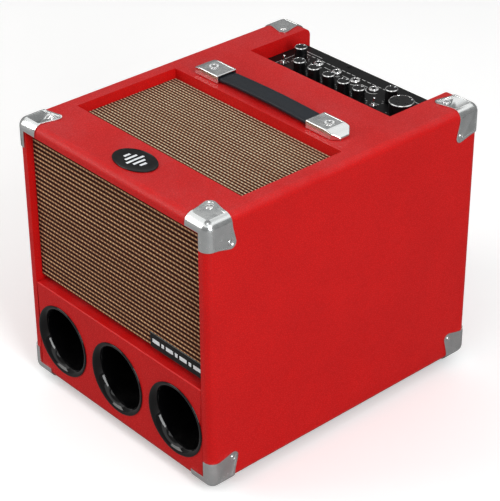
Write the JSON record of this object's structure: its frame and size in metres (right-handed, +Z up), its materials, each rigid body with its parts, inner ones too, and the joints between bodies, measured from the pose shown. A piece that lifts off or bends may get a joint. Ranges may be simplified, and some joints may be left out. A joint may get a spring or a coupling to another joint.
{
  "type": "guitar amplifier",
  "caption": "Compact combo amplifier cabinet in red vinyl with cloth-covered drivers on the front and top, flared ports below, rear-set knobs, metal corners and a strap handle.",
  "frame": {"origin": "on the ground under the middle of the cabinet", "axes": "+Z up, +X to the right seen from the front, +Y to the rear, so the ports and front cloth face -Y"},
  "size_m": [0.343, 0.429, 0.3755],
  "materials": {
    "red_vinyl": "red leather-grained vinyl cloth glued over plywood, satin",
    "painted_board": "plywood, painted dark red",
    "grille_cloth": "woven tan and dark brown grille cloth over a wooden frame",
    "gloss_black_plastic": "moulded black plastic, glossy",
    "cast_frame": "black painted steel basket and ferrite magnet",
    "nickel_plate": "pressed steel, nickel plated",
    "foot_rubber": "moulded black rubber",
    "panel_black": "black painted steel with printed white lines",
    "circuit_board": "green circuit board with black potentiometers",
    "jack_socket": "black moulded jacks with nickel plated nuts",
    "chassis_steel": "zinc plated steel sheet",
    "black_aluminium": "black anodised aluminium",
    "winding_tape": "taped copper winding",
    "inlet_plastic": "moulded black plastic",
    "badge_enamel": "black enamel on metal, polished edge",
    "knob_black": "black knob with a bright bevelled edge",
    "cone_paper": "pressed black paper",
    "strap_rubber": "black moulded rubber strap, satin"
  },
  "bodies": {
    "root": {"side_panel_left": "red_vinyl", "side_panel_right": "red_vinyl", "bottom_panel": "red_vinyl", "top_panel": "red_vinyl", "port_panel": "red_vinyl", "front_baffle": "painted_board", "top_baffle": "painted_board", "amp_bay": "red_vinyl", "rear_panel": "red_vinyl", "front_grille": "grille_cloth", "top_grille": "grille_cloth", "port_tube_left": "gloss_black_plastic", "port_tube_centre": "gloss_black_plastic", "port_tube_right": "gloss_black_plastic", "driver_frame_front_left": "cast_frame", "driver_frame_front_right": "cast_frame", "driver_frame_top_left": "cast_frame", "driver_frame_top_right": "cast_frame", "control_panel": "panel_black", "control_board": "circuit_board", "jack_block": "jack_socket", "chassis_tray": "chassis_steel", "heat_sink": "black_aluminium", "transformer": "winding_tape", "mains_inlet": "inlet_plastic", "handle_end_left": "nickel_plate", "handle_end_right": "nickel_plate", "corner_bottom_front_left": "nickel_plate", "corner_bottom_front_right": "nickel_plate", "corner_bottom_rear_left": "nickel_plate", "corner_bottom_rear_right": "nickel_plate", "corner_top_front_left": "nickel_plate", "corner_top_front_right": "nickel_plate", "corner_top_rear_left": "nickel_plate", "corner_top_rear_right": "nickel_plate", "foot_front_left": "foot_rubber", "foot_front_right": "foot_rubber", "foot_rear_left": "foot_rubber", "foot_rear_right": "foot_rubber", "oval_badge": "badge_enamel", "grille_plate": "badge_enamel"},
    "knob_left": {"knob_left": "knob_black"},
    "knob_row_1": {"knob_row_1": "knob_black"},
    "knob_row_2": {"knob_row_2": "knob_black"},
    "knob_row_3": {"knob_row_3": "knob_black"},
    "knob_row_4": {"knob_row_4": "knob_black"},
    "knob_row_5": {"knob_row_5": "knob_black"},
    "knob_right": {"knob_right": "knob_black"},
    "knob_master": {"knob_master": "knob_black"},
    "toggle_lever_left": {"toggle_lever_left": "nickel_plate"},
    "toggle_lever_right": {"toggle_lever_right": "nickel_plate"},
    "power_rocker": {"power_rocker": "inlet_plastic"},
    "driver_cone_front_left": {"driver_cone_front_left": "cone_paper"},
    "driver_cone_front_right": {"driver_cone_front_right": "cone_paper"},
    "driver_cone_top_left": {"driver_cone_top_left": "cone_paper"},
    "driver_cone_top_right": {"driver_cone_top_right": "cone_paper"},
    "strap_left": {"strap_left": "strap_rubber"},
    "strap_centre": {"strap_centre": "strap_rubber"},
    "strap_right": {"strap_right": "strap_rubber"}
  },
  "joints": [
    {"name": "knob_left_turn", "type": "hinge", "parent": "root", "child": "knob_left", "pos_m": [-0.09, 0.167, 0.3538], "axis": [0, 0, 1], "range_deg": [-150, 150]},
    {"name": "knob_row_1_turn", "type": "hinge", "parent": "root", "child": "knob_row_1", "pos_m": [-0.062, 0.138, 0.3538], "axis": [0, 0, 1], "range_deg": [-150, 150]},
    {"name": "knob_row_2_turn", "type": "hinge", "parent": "root", "child": "knob_row_2", "pos_m": [-0.036, 0.138, 0.3538], "axis": [0, 0, 1], "range_deg": [-150, 150]},
    {"name": "knob_row_3_turn", "type": "hinge", "parent": "root", "child": "knob_row_3", "pos_m": [-0.01, 0.138, 0.3538], "axis": [0, 0, 1], "range_deg": [-150, 150]},
    {"name": "knob_row_4_turn", "type": "hinge", "parent": "root", "child": "knob_row_4", "pos_m": [0.016, 0.138, 0.3538], "axis": [0, 0, 1], "range_deg": [-150, 150]},
    {"name": "knob_row_5_turn", "type": "hinge", "parent": "root", "child": "knob_row_5", "pos_m": [0.042, 0.138, 0.3538], "axis": [0, 0, 1], "range_deg": [-150, 150]},
    {"name": "knob_right_turn", "type": "hinge", "parent": "root", "child": "knob_right", "pos_m": [0.07, 0.166, 0.3538], "axis": [0, 0, 1], "range_deg": [-150, 150]},
    {"name": "knob_master_turn", "type": "hinge", "parent": "root", "child": "knob_master", "pos_m": [0.101, 0.151, 0.3538], "axis": [0, 0, 1], "range_deg": [-121, 179]},
    {"name": "toggle_left_flip", "type": "hinge", "parent": "root", "child": "toggle_lever_left", "pos_m": [-0.097, 0.143, 0.345], "axis": [1, 0, 0], "range_deg": [0, 24]},
    {"name": "toggle_right_flip", "type": "hinge", "parent": "root", "child": "toggle_lever_right", "pos_m": [0.063, 0.142, 0.345], "axis": [1, 0, 0], "range_deg": [0, 24]},
    {"name": "power_rocker_press", "type": "hinge", "parent": "root", "child": "power_rocker", "pos_m": [0.08, 0.205, 0.2983], "axis": [1, 0, 0], "range_deg": [-16, 0]},
    {"name": "cone_front_left_travel", "type": "slide", "parent": "root", "child": "driver_cone_front_left", "axis": [0, -1, 0], "range_m": [-0.003, 0.003], "stiffness_N_per_m": 1200},
    {"name": "cone_front_right_travel", "type": "slide", "parent": "root", "child": "driver_cone_front_right", "axis": [0, -1, 0], "range_m": [-0.003, 0.003], "stiffness_N_per_m": 1200},
    {"name": "cone_top_left_travel", "type": "slide", "parent": "root", "child": "driver_cone_top_left", "axis": [0, 0, 1], "range_m": [-0.003, 0.003], "stiffness_N_per_m": 1200},
    {"name": "cone_top_right_travel", "type": "slide", "parent": "root", "child": "driver_cone_top_right", "axis": [0, 0, 1], "range_m": [-0.003, 0.003], "stiffness_N_per_m": 1200},
    {"name": "strap_lift", "type": "hinge", "parent": "root", "child": "strap_left", "pos_m": [-0.079, 0.032, 0.36885], "axis": [0, -1, 0], "range_deg": [0, 18], "stiffness_Nm_per_rad": 0.15},
    {"name": "strap_fold_left", "type": "hinge", "parent": "strap_left", "child": "strap_centre", "pos_m": [-0.045, 0.032, 0.37148], "axis": [0, -1, 0], "range_deg": [-18, 0]},
    {"name": "strap_fold_right", "type": "hinge", "parent": "strap_centre", "child": "strap_right", "pos_m": [0.045, 0.032, 0.37148], "axis": [0, -1, 0], "range_deg": [-18, 0]}
  ],
  "couplings": [
    {"joint": "strap_fold_left", "follows": "strap_lift", "ratio": -1},
    {"joint": "strap_fold_right", "follows": "strap_lift", "ratio": -1}
  ]
}
